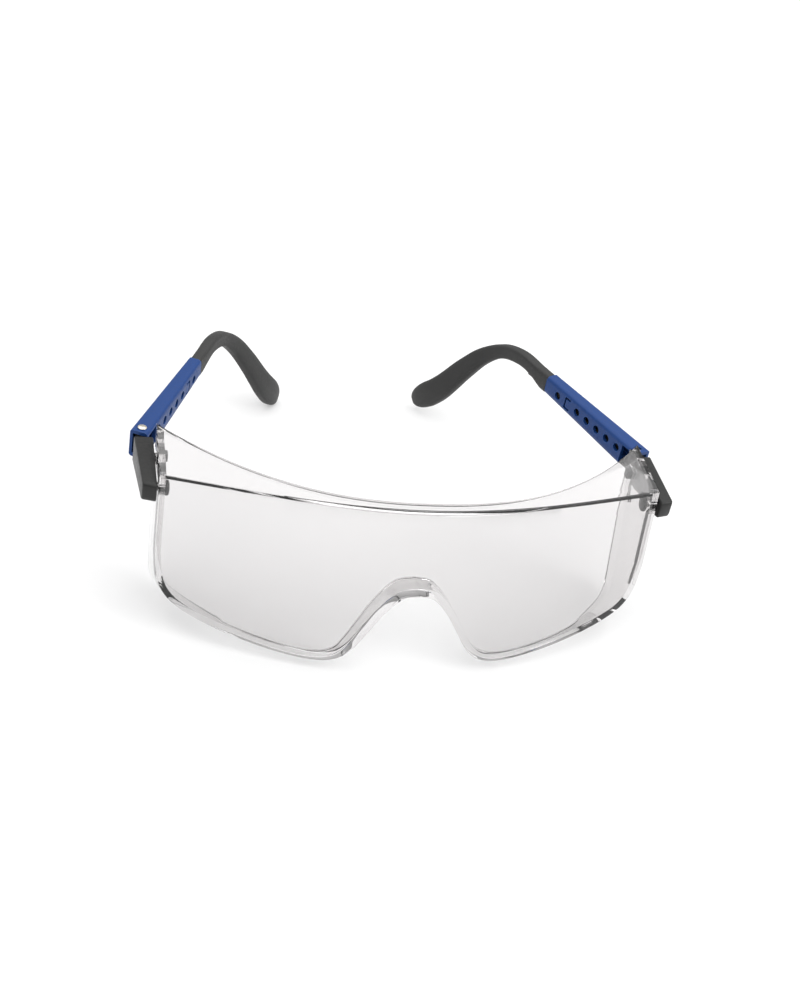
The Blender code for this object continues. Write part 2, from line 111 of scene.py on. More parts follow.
def spline_at(points, where):
    """Cubic Hermite curve through evenly spaced points, its slopes half the step between neighbours."""
    points = np.array(points, float)
    spans = len(points) - 1
    slopes = np.gradient(points, axis=0)
    k = np.minimum((where * spans).astype(int), spans - 1)
    t = (where * spans - k)[:, None]
    start = points[k] * (2 * t**3 - 3 * t**2 + 1) + slopes[k] * (t**3 - 2 * t**2 + t)
    return start + points[k + 1] * (3 * t**2 - 2 * t**3) + slopes[k + 1] * (t**3 - t**2)


def eased_at(stations, where):
    """Values between (place, value) stations, eased by 3t^2 - 2t^3 from each to the next."""
    places, values = np.array(stations, float).T
    k = np.clip(np.searchsorted(places, where, side="right") - 1, 0, len(places) - 2)
    t = np.clip((where - places[k]) / (places[k + 1] - places[k]), 0.0, 1.0)
    return values[k] + (values[k + 1] - values[k]) * t * t * (3.0 - 2.0 * t)


def lens_place(x, b, h):
    """Across, back and up the leaning panel, turned by the lean about X and moved to its base, in metres."""
    y = LENS_BASE_Y + b * math.cos(LENS_LEAN) + h * math.sin(LENS_LEAN)
    z = LENS_BASE_Z - b * math.sin(LENS_LEAN) + h * math.cos(LENS_LEAN)
    return np.stack(np.broadcast_arrays(x, y, z), axis=-1) * MM


def front_depth(x):
    """The bulge: minus 17.5 times one less t^2(1 + 0.285(1 - t^2)), with t from 0 mid-lens to 1."""
    t = np.abs(x) / LENS_HALF
    return -LENS_BULGE * (1.0 - t * t * (1.0 + BULGE_QUARTIC * (1.0 - t * t)))


def grid_faces(rows, columns, first=0, around=False):
    """Corner numbers of the quads of a rows by columns grid, closed from last column to first if around."""
    row = np.arange(rows - 1)[:, None] * columns
    column = np.arange(columns if around else columns - 1)[None, :]
    following = (column + 1) % columns
    quads = np.stack([row + column, row + following, row + columns + following, row + columns + column], -1)
    return (quads.reshape(-1, 4) + first).tolist()


def mesh_object(name, points, faces):
    """An object from an array of points and its faces, with doubles merged and faces turned outwards."""
    mesh = bpy.data.meshes.new(name)
    mesh.from_pydata(np.asarray(points, float).reshape(-1, 3).tolist(), [], faces)
    bm = bmesh.new()
    bm.from_mesh(mesh)
    bmesh.ops.remove_doubles(bm, verts=bm.verts, dist=0.002 * MM)
    bmesh.ops.recalc_face_normals(bm, faces=bm.faces)
    bm.to_mesh(mesh)
    bm.free()
    piece = bpy.data.objects.new(name, mesh)
    bpy.context.scene.collection.objects.link(piece)
    return piece


def lofted(name, rings, place):
    """Rings of points joined with quads and capped at both ends, carried into the goggles by place."""
    rings = np.asarray(rings, float)
    count, around = rings.shape[:2]
    ends = [list(range(around)), list(range((count - 1) * around, count * around))]
    return mesh_object(name, place(rings), grid_faces(count, around, around=True) + ends)


def turned(profile, start, axis, around=32):
    """Rings about an axis from a start: (along, radius) pairs swung through a full turn."""
    axis = np.array(axis, float)
    aside = np.array([0.0, 0.0, 1.0]) if abs(axis[2]) < 0.5 else np.array([1.0, 0.0, 0.0])
    other = np.cross(axis, aside)
    along, radius = np.array(profile, float).T
    angle = np.linspace(0.0, 2.0 * math.pi, around, endpoint=False)
    spoke = np.cos(angle)[:, None] * aside + np.sin(angle)[:, None] * other
    return np.array(start) + along[:, None, None] * axis + radius[:, None, None] * spoke


def block_rings(low, high):
    """Two rectangles, at the low and the high y, of a straight-sided block between two corners."""
    (x0, y0, z0), (x1, y1, z1) = low, high
    ring = np.array([(x0, z0), (x1, z0), (x1, z1), (x0, z1)])
    return np.stack([np.insert(ring, 1, y, axis=1) for y in (y0, y1)])


def plate_rings(outline, near, far):
    """A (y, z) outline repeated at two x, for a plate or a slot cutter."""
    outline = np.array(outline, float)
    return np.stack([np.insert(outline, 0, x, axis=1) for x in (near, far)])


def settled(piece):
    """The piece with its modifiers worked into its mesh."""
    drawn = piece.evaluated_get(bpy.context.evaluated_depsgraph_get())
    mesh = bpy.data.meshes.new_from_object(drawn)
    piece.modifiers.clear()
    piece.data = mesh
    mesh.name = piece.name
    return piece


def carved(piece, cutters, operation="DIFFERENCE"):
    """The piece with the cutters cut away or joined on one after another; the cutters are used up."""
    for tool in cutters:
        change = piece.modifiers.new(tool.name, "BOOLEAN")
        change.operation = operation
        change.solver = "EXACT"
        change.object = tool
    settled(piece)
    for tool in cutters:
        bpy.data.objects.remove(tool, do_unlink=True)
    return piece


def rounded(piece, width, segments=3, angle=38.0):
    """The piece with its sharp edges rounded over a width in millimetres."""
    change = piece.modifiers.new("rounded edges", "BEVEL")
    change.width = width * MM
    change.segments = segments
    change.limit_method = "ANGLE"
    change.angle_limit = math.radians(angle)
    return settled(piece)


def finished(piece, material, body, node, smooth_below=42.0):
    """The piece shaded, in its material, riding on its body, and standing for its CAD node."""
    piece.name = node + "_moulded"
    piece.data.materials.clear()
    piece.data.materials.append(material)
    piece.data.shade_smooth()
    piece.data.set_sharp_from_angle(angle=math.radians(smooth_below))
    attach(piece, body)
    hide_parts(node)
    return piece


def lens_skin():
    """The outer skin as three grids: panel rows run up from the rim to the brow, shelf rows back from
    the brow to a line that falls away as t^2.4, and skirt rows straight from the rim to its rear edge."""
    half = spline_at(RIM, np.linspace(0.0, 1.0, LENS_ACROSS + 1))
    mirror = half[:0:-1] * np.array([-1.0, 1.0, -1.0, 1.0, 1.0])
    rim = np.concatenate([mirror, half])
    x, low = rim[:, 0, None], rim[:, 1, None]
    up = np.linspace(0.0, 1.0, LENS_ROWS + 1)
    back = np.linspace(0.0, 1.0, LENS_BACK + 1)
    panel = lens_place(x, front_depth(x), low + (BROW_H - low) * up)

    t = np.abs(x) / LENS_HALF
    middle = SHELF_MIDDLE - LENS_BULGE
    deep = middle + (PEAK_BACK - middle) * t**SHELF_POWER - front_depth(x)
    rise = SHELF_MIDDLE_H - BROW_H + (PEAK_H - SHELF_MIDDLE_H) * t * t
    shelf = lens_place(x, front_depth(x) + deep * back, BROW_H + rise * back)

    h = CORNER_H + (BROW_H - CORNER_H) * up[1:]
    right = np.stack(
        [np.full_like(h, LENS_HALF), h, 0.0 * h, eased_at(SHIELD_DEPTH, h), eased_at(SHIELD_RISE, h)], -1
    )
    left = right[::-1] * np.array([-1.0, 1.0, -1.0, 1.0, 1.0])
    edge = np.concatenate([left, rim, right])
    ex, eh, out, depth, lift = (edge[:, k, None] for k in range(5))
    skirt = lens_place(ex + out * back, front_depth(ex) + depth * back, eh + lift * back)

    points, faces = [], []
    for grid in (panel, shelf, skirt):
        first = sum(len(block) for block in points)
        faces += grid_faces(*grid.shape[:2], first)
        points.append(grid.reshape(-1, 3))
    return np.concatenate(points), faces


def pawl_slot_outline(pivot):
    """(y, z) of the arc slot about the tilt pivot: the pawl's path swept through the tilt, with spare."""
    start = math.atan2(PAWL_Z, PAWL_REACH) + SLOT_DROP
    radius = math.hypot(PAWL_Z, PAWL_REACH)
    spread = (PAWL_HALF + SLOT_SPARE) / (radius - PAWL_HALF - SLOT_SPARE)
    angle = np.linspace(start + spread, start - SLOT_TRAVEL - spread, SLOT_STEPS + 1)
    arc = np.stack([np.cos(angle), np.sin(angle)], -1)
    near, far = radius - PAWL_HALF - SLOT_SPARE, radius + PAWL_HALF + SLOT_SPARE
    return np.concatenate([near * arc, far * arc[::-1]]) + pivot


def shader_group(name, inputs, outputs):
    """A shader node group with those named value sockets, and its input and output nodes."""
    group = bpy.data.node_groups.new(name, "ShaderNodeTree")
    for label, value in inputs:
        socket = group.interface.new_socket(label, in_out="INPUT", socket_type="NodeSocketFloat")
        socket.default_value = value
    for label in outputs:
        group.interface.new_socket(label, in_out="OUTPUT", socket_type="NodeSocketFloat")
    return group, group.nodes.new("NodeGroupInput"), group.nodes.new("NodeGroupOutput")


def grain_group():
    """Two noises on Object coordinates: a fine one for height, a broad one for cloudy colour."""
    group, given, out = shader_group(
        "moulded_grain", [("Grain Scale", 4000.0), ("Cloud Scale", 90.0)], ["Height", "Cloud"]
    )
    place = group.nodes.new("ShaderNodeTexCoord")
    for scale, detail, result in (("Grain Scale", 4.0, "Height"), ("Cloud Scale", 3.0, "Cloud")):
        noise = group.nodes.new("ShaderNodeTexNoise")
        noise.inputs["Detail"].default_value = detail
        group.links.new(place.outputs["Object"], noise.inputs["Vector"])
        group.links.new(given.outputs[scale], noise.inputs["Scale"])
        group.links.new(noise.outputs["Fac"], out.inputs[result])
    return group


grain = grain_group()


def finish_of(
    name, colour, roughness, rough_spread, grain_scale, bump, bump_depth, cloud_scale, clouding
):
    """A Principled material: colour and roughness drift with broad noise, and the skin has fine grain."""
    material = bpy.data.materials.new(name)
    material.use_nodes = True
    nodes, links = material.node_tree.nodes, material.node_tree.links
    shader = nodes["Principled BSDF"]
    skin = nodes.new("ShaderNodeGroup")
    skin.node_tree = grain
    skin.inputs["Grain Scale"].default_value = grain_scale
    skin.inputs["Cloud Scale"].default_value = cloud_scale
    tint = nodes.new("ShaderNodeMix")
    tint.data_type = "RGBA"
    tint.inputs["A"].default_value = (*(value * (1.0 - clouding) for value in colour), 1.0)
    tint.inputs["B"].default_value = (*(min(1.0, value * (1.0 + clouding)) for value in colour), 1.0)
    links.new(skin.outputs["Cloud"], tint.inputs["Factor"])
    links.new(tint.outputs["Result"], shader.inputs["Base Color"])
    gloss = nodes.new("ShaderNodeMapRange")
    gloss.inputs["From Min"].default_value = 0.3
    gloss.inputs["From Max"].default_value = 0.7
    gloss.inputs["To Min"].default_value = max(0.0, roughness - rough_spread)
    gloss.inputs["To Max"].default_value = roughness + rough_spread
    links.new(skin.outputs["Cloud"], gloss.inputs["Value"])
    links.new(gloss.outputs["Result"], shader.inputs["Roughness"])
    relief = nodes.new("ShaderNodeBump")
    relief.inputs["Strength"].default_value = bump
    relief.inputs["Distance"].default_value = bump_depth
    links.new(skin.outputs["Height"], relief.inputs["Height"])
    links.new(relief.outputs["Normal"], shader.inputs["Normal"])
    return material, shader, tint


def in_place(points):
    """Millimetres in the goggles' own frame, to metres."""
    return points * MM


clear, clear_shader, _ = finish_of(
    "clear_polycarbonate",
    LENS_COLOUR,
    roughness=0.012,
    rough_spread=0.01,
    grain_scale=60.0,
    bump=0.05,
    bump_depth=0.00005,
    cloud_scale=25.0,
    clouding=0.012,
)
clear_shader.inputs["Transmission Weight"].default_value = 1.0
clear_shader.inputs["IOR"].default_value = LENS_INDEX

lens = mesh_object("lens", *lens_skin())
foremost = min(lens.data.polygons, key=lambda face: face.center.y)
if foremost.normal.y > 0.0:
    lens.data.flip_normals()
wall = lens.modifiers.new("wall", "SOLIDIFY")
wall.thickness = LENS_WALL * MM
wall.offset = -1.0
wall.use_even_offset = True
wall.use_quality_normals = True
settled(lens)
rounded(lens, LENS_ROUNDING, 3, 40.0)
pivot = [value / MM for value in joints["right_tilt"]["pos_m"][1:]]
hole_profile = [(0.0, PIVOT_HOLE_R), (2.0 * CUTTER_REACH, PIVOT_HOLE_R)]
pivot_hole = turned(hole_profile, (-CUTTER_REACH, *pivot), (1, 0, 0), 48)
pawl_slot = plate_rings(pawl_slot_outline(pivot), -CUTTER_REACH, CUTTER_REACH)
carved(
    lens,
    [
        lofted("pivot_hole", pivot_hole, in_place),
        lofted("pawl_slot", pawl_slot, in_place),
    ],
)
finished(lens, clear, "lens", "lens", LENS_SMOOTH_BELOW)

# ---------------------------------------------------------------- hinge blocks and pivot pins
# A black nylon bar beside each shield, with a blunt nose, a pawl that reaches through the arc
# slot, and a knuckle at its rear for the sleeve. It tilts on a headed pin put in from inside.

BLOCK_END = 20.4
SLEEVE_TOP = 3.1
FRONT_BOTTOM = -6.2
PLATE = 1.1
GAP = 0.3
FOLD_OUT = 3.05
FOLD_BACK = 24.8
KNUCKLE_R = 1.9
NECK_HALF = 1.4
SCREW_HOLE_R = 0.95
PIN_R = 1.2
PIN_HEAD_R = 2.3
PIN_HEAD = 1.2
PIN_DOME = 0.5
PIN_END = 2.6
BLOCK_ROUNDING = 0.5
BLOCK_ROUND_ANGLE = 25.0
BLOCK_THICK = 4.1
BLOCK_FLARE = 1.5
BLOCK_FLARE_RUN = 25.0
NOSE_Y = -5.0
NOSE_INNER_END = -4.5
NOSE_INNER_STEP = 1.2
PAWL_TIP = -4.2
PAWL_ROOT = 1.0
PAWL_ROUNDING = 0.25
EDGE_BREAK = 0.15
INWARD = math.radians(23.8)
THROUGH = 12.0
BLACK = (0.0125, 0.0125, 0.012)
# Paler edge colour of the black nylon: a painted highlight along its edges.
BLACK_EDGE_HIGHLIGHT = (0.07, 0.07, 0.068)
SIDES = {"right": 1.0, "left": -1.0}

BLOCK_NOSE = [(-5.0, 4.9), (-5.6, 4.2), (-5.8, 0.4), (-5.3, -0.9), (-4.1, -1.7)]
BLOCK_OUTLINE = BLOCK_NOSE + [(BLOCK_END, -5.6), (BLOCK_END, SLEEVE_TOP)]


def painted_edge_highlight_group():
    """Mask for a painted highlight along edges: one less the dot product of the normal rounded over a radius
    with the true one, so it is above 0 only within that radius of an edge; broken up by noise and scaled to
    a mask."""
    group, given, out = shader_group("painted_edge_highlight", [("Radius", 0.0004), ("Amount", 1.0)], ["Mask"])
    nodes, links = group.nodes, group.links
    soft = nodes.new("ShaderNodeBevel")
    soft.samples = 4
    true = nodes.new("ShaderNodeNewGeometry")
    dot = nodes.new("ShaderNodeVectorMath")
    dot.operation = "DOT_PRODUCT"
    links.new(given.outputs["Radius"], soft.inputs["Radius"])
    links.new(soft.outputs["Normal"], dot.inputs[0])
    links.new(true.outputs["Normal"], dot.inputs[1])
    edge = nodes.new("ShaderNodeMapRange")
    edge.inputs["From Min"].default_value = 0.99
    edge.inputs["From Max"].default_value = 0.8
    links.new(dot.outputs["Value"], edge.inputs["Value"])
    place = nodes.new("ShaderNodeTexCoord")
    highlight_noise = nodes.new("ShaderNodeTexNoise")
    highlight_noise.inputs["Scale"].default_value = 700.0
    links.new(place.outputs["Object"], highlight_noise.inputs["Vector"])
    patchy = nodes.new("ShaderNodeMath")
    patchy.operation = "MULTIPLY"
    links.new(edge.outputs["Result"], patchy.inputs[0])
    links.new(highlight_noise.outputs["Fac"], patchy.inputs[1])
    scaled = nodes.new("ShaderNodeMath")
    scaled.operation = "MULTIPLY"
    links.new(patchy.outputs["Value"], scaled.inputs[0])
    links.new(given.outputs["Amount"], scaled.inputs[1])
    links.new(scaled.outputs["Value"], out.inputs["Mask"])
    return group


# Mask for the painted highlight along edges, not wear.
painted_edge_highlight = painted_edge_highlight_group()


def with_painted_edge_highlight(material, shader, tint, colour, radius, amount):
    """Paints a paler highlight colour along the edges of a moulded finish, standing in for the light that
    the rounded edges catch.
    """
    nodes, links = material.node_tree.nodes, material.node_tree.links
    # The paler edge colour mixed in here is a painted highlight.
    edge_light = nodes.new("ShaderNodeGroup")
    edge_light.node_tree = painted_edge_highlight
    edge_light.inputs["Radius"].default_value = radius
    edge_light.inputs["Amount"].default_value = amount
    mix = nodes.new("ShaderNodeMix")
    mix.data_type = "RGBA"
    mix.inputs["B"].default_value = (*colour, 1.0)
    links.new(edge_light.outputs["Mask"], mix.inputs["Factor"])
    links.new(tint.outputs["Result"], mix.inputs["A"])
    links.new(mix.outputs["Result"], shader.inputs["Base Color"])


def hinge_frames(side):
    """Two functions that carry local (out, back, up) millimetres into the goggles: one in the hinge
    block's frame at the tilt pivot, one in the temple's at the fold axis, turned inwards."""
    name = "right" if side > 0 else "left"
    up = np.array(joints[name + "_fold"]["axis"])
    up = up * np.sign(up[2]) / np.linalg.norm(up)
    back = np.array([0.0, up[2], -up[1]])
    out = np.array([side, 0.0, 0.0])
    temple_out = math.cos(INWARD) * out + math.sin(INWARD) * back
    temple_back = math.cos(INWARD) * back - math.sin(INWARD) * out
    pivot = np.array(joints[name + "_tilt"]["pos_m"])
    fold = np.array(joints[name + "_fold"]["pos_m"])
    block = np.stack([out, back, up])
    temple = np.stack([temple_out, temple_back, up])
    return (lambda p: p * MM @ block + pivot), (lambda p: p * MM @ temple + fold)


def block_body():
    """The side outline at the flat inner face and at the outer face, which leans in towards the nose."""
    outline = np.array(BLOCK_OUTLINE)
    outer = BLOCK_THICK + BLOCK_FLARE * np.maximum(0.0, outline[:, 0] - NOSE_Y) / BLOCK_FLARE_RUN
    inner = np.insert(outline, 0, 0.0, axis=1)
    inner[inner[:, 1] < NOSE_INNER_END, 1] -= NOSE_INNER_STEP
    return np.stack([inner, np.column_stack([outer, outline])])


def pin_profile():
    """(along, radius) from the pin's domed head, inside the lens wall, to the broken end of its shank."""
    face = LENS_HALF - LENS_WALL - abs(joints["right_tilt"]["pos_m"][0]) / MM - GAP
    crown = face - PIN_HEAD
    dome = [(crown, 0.4), (crown + 0.05, PIN_HEAD_R * 0.62), (crown + 0.22, PIN_HEAD_R * 0.88)]
    rim = [(crown + PIN_DOME, PIN_HEAD_R), (face - 0.12, PIN_HEAD_R), (face, PIN_HEAD_R - 0.12)]
    shank = [(face, PIN_R), (PIN_END - EDGE_BREAK, PIN_R), (PIN_END, PIN_R - EDGE_BREAK)]
    return dome + rim + shank


black, black_shader, black_tint = finish_of(
    "black_nylon",
    BLACK,
    roughness=0.42,
    rough_spread=0.07,
    grain_scale=3200.0,
    bump=0.45,
    bump_depth=0.00006,
    cloud_scale=900.0,
    clouding=0.16,
)
black_shader.inputs["Specular IOR Level"].default_value = 0.4
# Paints a paler highlight along the black nylon's edges.
with_painted_edge_highlight(black, black_shader, black_tint, BLACK_EDGE_HIGHLIGHT, 0.0004, 1.1)

for name, side in SIDES.items():
    on_block, _ = hinge_frames(side)
    block = lofted("hinge_block", block_body(), on_block)
    rounded(block, BLOCK_ROUNDING, 3, BLOCK_ROUND_ANGLE)
    low, high = FRONT_BOTTOM + PLATE + GAP, SLEEVE_TOP - PLATE - GAP
    neck = block_rings(
        (FOLD_OUT - NECK_HALF, BLOCK_END - 1.0, low), (FOLD_OUT + NECK_HALF, FOLD_BACK, high)
    )
    tall = high - low
    knuckle_profile = [
        (0.0, KNUCKLE_R - EDGE_BREAK),
        (EDGE_BREAK, KNUCKLE_R),
        (tall - EDGE_BREAK, KNUCKLE_R),
        (tall, KNUCKLE_R - EDGE_BREAK),
    ]
    knuckle = turned(knuckle_profile, (FOLD_OUT, FOLD_BACK, low), (0, 0, 1), 40)
    pawl = block_rings(
        (PAWL_TIP, PAWL_REACH - PAWL_HALF, PAWL_Z - PAWL_HALF),
        (PAWL_ROOT, PAWL_REACH + PAWL_HALF, PAWL_Z + PAWL_HALF),
    )
    joined = [
        lofted("neck", neck, on_block),
        lofted("knuckle", knuckle, on_block),
        rounded(lofted("pawl", pawl, on_block), PAWL_ROUNDING, 2),
    ]
    carved(block, joined, "UNION")
    pin_hole = turned([(-1.0, PIN_R + GAP), (3.0, PIN_R + GAP)], (0, 0, 0), (1, 0, 0))
    screw_run = [(-THROUGH, SCREW_HOLE_R), (THROUGH, SCREW_HOLE_R)]
    screw_hole = turned(screw_run, (FOLD_OUT, FOLD_BACK, 0), (0, 0, 1))
    carved(block, [lofted("pin_hole", pin_hole, on_block), lofted("screw_hole", screw_hole, on_block)])
    finished(block, black, name + "_block", "hinge_block_" + name)

    pin = lofted("pivot_pin", turned(pin_profile(), (0, 0, 0), (1, 0, 0), 48), on_block)
    finished(pin, black, name + "_block", "pivot_pin_" + name)

# ---------------------------------------------------------------- temple sleeves and hinge screws
# A blue nylon channel with rounded corners that tapers to the rear. It is bored for the slider,
# pierced by six round holes, and cut by a C-shaped slit whose tongue is the latch. Its forked
# front end folds on a plated screw: head up on the left temple, head down on the right.

SLEEVE_FRONT = -2.3
SLEEVE_REAR = 45.4
REAR_BOTTOM = -3.9
FRONT_HALF = 2.85
REAR_HALF = 2.15
CORNER_CUT = 0.35
SLEEVE_STATIONS = 24
CLEVIS_END = 4.6
OUTER_WALL = 0.85
BORE_HALF = 1.5
BORE_TALL_HALF = 2.3
BORE_Z = -0.5
HOLE_R = 1.4
HOLE_PITCH = 5.25
FIRST_HOLE = 38.6
HOLE_PLACES = (0, 2, 3, 4, 5, 6)
LATCH_HALF = 2.2
LATCH_REACH = 1.45
SLIT = 0.8
SCREW_R = 0.75
SCREW_HEAD_R = 1.35
DOME_HEIGHT = 0.3
DOME_EYE = 0.15
DRIVER_SLOT_HALF = 0.17
SLEEVE_SMOOTH_BELOW = 32.0
BLUE = (0.0095, 0.046, 0.185)
# Paler edge colour of the blue nylon: a painted highlight along its edges.
BLUE_EDGE_HIGHLIGHT = (0.055, 0.135, 0.38)
STEEL = (0.78, 0.74, 0.66)
# Paler edge colour of the plated steel: a painted highlight along its edges.
STEEL_EDGE_HIGHLIGHT = (0.93, 0.9, 0.84)


def sleeve_ring(y):
    """Corner points of the section at y, half width and foot tapering along the sleeve; each corner is
    cut to a short quadratic arc between points 0.35 mm before and after it."""
    t = (y - SLEEVE_FRONT) / (SLEEVE_REAR - SLEEVE_FRONT)
    half = FRONT_HALF + (REAR_HALF - FRONT_HALF) * t
    low = FRONT_BOTTOM + (REAR_BOTTOM - FRONT_BOTTOM) * t
    top = SLEEVE_TOP
    corners = np.array(
        [
            (-half + 1.0, top),
            (-half + 0.25, top - 0.45),
            (-half, top - 1.3),
            (-half, low + 1.9),
            (-half + 0.4, low + 0.8),
            (-half + 1.5, low),
            (half - 0.6, low),
            (half, low + 0.6),
            (half, top - 0.5),
            (half - 0.4, top),
        ]
    )
    before = np.roll(corners, 1, axis=0) - corners
    after = np.roll(corners, -1, axis=0) - corners
    cut_before = before * np.minimum(CORNER_CUT / np.linalg.norm(before, axis=1), 0.4)[:, None]
    cut_after = after * np.minimum(CORNER_CUT / np.linalg.norm(after, axis=1), 0.4)[:, None]
    arc = np.linspace(0.0, 1.0, 4)[None, :, None]
    ring = corners[:, None] + (1 - arc) ** 2 * cut_before[:, None] + arc**2 * cut_after[:, None]
    return np.insert(ring.reshape(-1, 2), 1, y, axis=1)


def latch_outline():
    """(y, z) of the C-shaped slit, open towards the front, 0.8 mm wide."""
    rear = FIRST_HOLE - HOLE_PITCH + LATCH_REACH
    front = FIRST_HOLE - HOLE_PITCH - LATCH_REACH
    top, low = BORE_Z + LATCH_HALF, BORE_Z - LATCH_HALF
    outside = [(front, top), (rear, top), (rear, low), (front, low)]
    end = rear - SLIT
    inside = [(front, low + SLIT), (end, low + SLIT), (end, top - SLIT), (front, top - SLIT)]
    return outside + inside


def screw_profile(low, top):
    """(along, radius) of a shank with a low domed head whose rim is broken."""
    dome = np.linspace(0.0, math.pi / 2, 6)
    spread = SCREW_HEAD_R - DOME_EYE
    head = [(top + DOME_HEIGHT * (1.0 + math.sin(a)), DOME_EYE + spread * math.cos(a)) for a in dome]
    shank = [(low + 0.5, SCREW_R - 0.12), (low + 0.62, SCREW_R), (top + 0.1, SCREW_R)]
    return shank + [(top + 0.1, SCREW_HEAD_R - 0.08), (top + 0.16, SCREW_HEAD_R)] + head


blue, blue_shader, blue_tint = finish_of(
    "blue_nylon",
    BLUE,
    roughness=0.42,
    rough_spread=0.06,
    grain_scale=2600.0,
    bump=0.5,
    bump_depth=0.00008,
    cloud_scale=900.0,
    clouding=0.13,
)
blue_shader.inputs["Specular IOR Level"].default_value = 0.26
# Paints a paler highlight along the blue nylon's edges.
with_painted_edge_highlight(blue, blue_shader, blue_tint, BLUE_EDGE_HIGHLIGHT, 0.0004, 1.2)
steel, steel_shader, steel_tint = finish_of(
    "plated_steel",
    STEEL,
    roughness=0.26,
    rough_spread=0.08,
    grain_scale=2600.0,
    bump=0.1,
    bump_depth=0.00002,
    cloud_scale=400.0,
    clouding=0.08,
)
steel_shader.inputs["Metallic"].default_value = 1.0
# Paints a paler highlight along the steel screws' edges.
with_painted_edge_highlight(steel, steel_shader, steel_tint, STEEL_EDGE_HIGHLIGHT, 0.0002, 1.0)

for name, side in SIDES.items():
    _, on_temple = hinge_frames(side)
    stations = np.linspace(SLEEVE_FRONT, SLEEVE_REAR, SLEEVE_STATIONS)
    sleeve = lofted("temple_sleeve", [sleeve_ring(y) for y in stations], on_temple)
    bore = block_rings(
        (-BORE_HALF, 2.0, BORE_Z - BORE_TALL_HALF), (BORE_HALF, SLEEVE_REAR + 1.0, BORE_Z + BORE_TALL_HALF)
    )
    fork = block_rings(
        (-FRONT_HALF - 1.0, SLEEVE_FRONT - 1.0, FRONT_BOTTOM + PLATE),
        (FRONT_HALF - OUTER_WALL, CLEVIS_END, SLEEVE_TOP - PLATE),
    )
    cutters = [lofted("bore", bore, on_temple), lofted("fork", fork, on_temple)]
    for k in HOLE_PLACES:
        centre = (-FRONT_HALF - 1.0, FIRST_HOLE - HOLE_PITCH * k, BORE_Z)
        hole = turned([(0.0, HOLE_R), (FRONT_HALF + 1.0, HOLE_R)], centre, (1, 0, 0), 40)
        cutters.append(lofted(f"strap_hole_{k}", hole, on_temple))
    cutters.append(lofted("latch_slit", plate_rings(latch_outline(), -3.5, -1.0), on_temple))
    shaft = turned([(-THROUGH, SCREW_HOLE_R), (THROUGH, SCREW_HOLE_R)], (0, 0, 0), (0, 0, 1))
    cutters.append(lofted("screw_hole", shaft, on_temple))
    carved(sleeve, cutters)
    finished(sleeve, blue, name + "_temple", "temple_sleeve_" + name, SLEEVE_SMOOTH_BELOW)

    way = -side
    top = SLEEVE_TOP if way > 0 else -FRONT_BOTTOM
    low = FRONT_BOTTOM if way > 0 else -SLEEVE_TOP
    screw = lofted("hinge_screw", turned(screw_profile(low, top), (0, 0, 0), (0, 0, way), 40), on_temple)
    slot_low, slot_high = sorted((way * (top + DOME_HEIGHT), way * (top + 1.2)))
    slot = block_rings((-2.0, -DRIVER_SLOT_HALF, slot_low), (2.0, DRIVER_SLOT_HALF, slot_high))
    carved(screw, [lofted("driver_slot", slot, on_temple)])
    finished(screw, steel, name + "_temple", "hinge_screw_" + name)

# ---------------------------------------------------------------- sliders and ear hooks
# A flat black strip runs in each sleeve, with a groove and dimples for the latch. The ear hook is
# a soft charcoal elastomer moulded over its tail, which bends down and swells to a round paddle.

STRIP_HALF = 1.2
STRIP_TALL_HALF = 2.0
STRIP_FRONT = 7.5
STRIP_TAIL = 56.0
GROOVE_HALF = 0.95
GROOVE_DEPTH = 0.7
DIMPLE_R = 0.8
DIMPLES = 4
DIMPLE_MARGIN = 1.2
STRIP_ROUNDING = 0.2
SOCKET_SPARE = 0.15
HOOK_SMOOTH_BELOW = 50.0
HOOK_SECTIONS = 150
HOOK_AROUND = 48
HOOK_SQUARENESS = 0.6
TIP_START = 0.9
TIP_POWER = 2.4
TIP_CLOSED = 0.985
LIP = 0.012
LOOK_AHEAD = 0.01
CHARCOAL = (0.021, 0.021, 0.0205)
# Paler edge colour of the charcoal elastomer: a painted highlight along its edges.
CHARCOAL_EDGE_HIGHLIGHT = (0.05, 0.05, 0.049)

HOOK_PATH = [
    (0.0, 45.7, -0.5),
    (0.0, 52.0, -0.5),
    (0.0, 61.1, -0.1),
    (-0.9, 70.3, -2.2),
    (-3.6, 77.0, -7.5),
    (-7.7, 81.5, -15.1),
    (-12.8, 86.8, -25.7),
    (-16.0, 96.0, -35.6),
]
HOOK_COLLAR = [(0.0, 3.5), (0.07, 3.45), (0.11, 3.2), (0.16, 2.75), (0.22, 2.55), (0.45, 2.5)]
HOOK_PADDLE = [(0.55, 2.95), (0.65, 3.5), (0.75, 4.05), (0.84, 4.5), (0.91, 4.7), (1.0, 4.5)]
HOOK_HALF_WIDTH = [(0.0, 2.12), (0.3, 2.2), (0.7, 2.1), (1.0, 2.5)]
HOOK_LIFT = [(0.0, 0.1), (0.07, 0.12), (0.16, 0.75), (0.22, 0.8), (0.3, 0.65), (0.45, 0.2), (1.0, 0.0)]


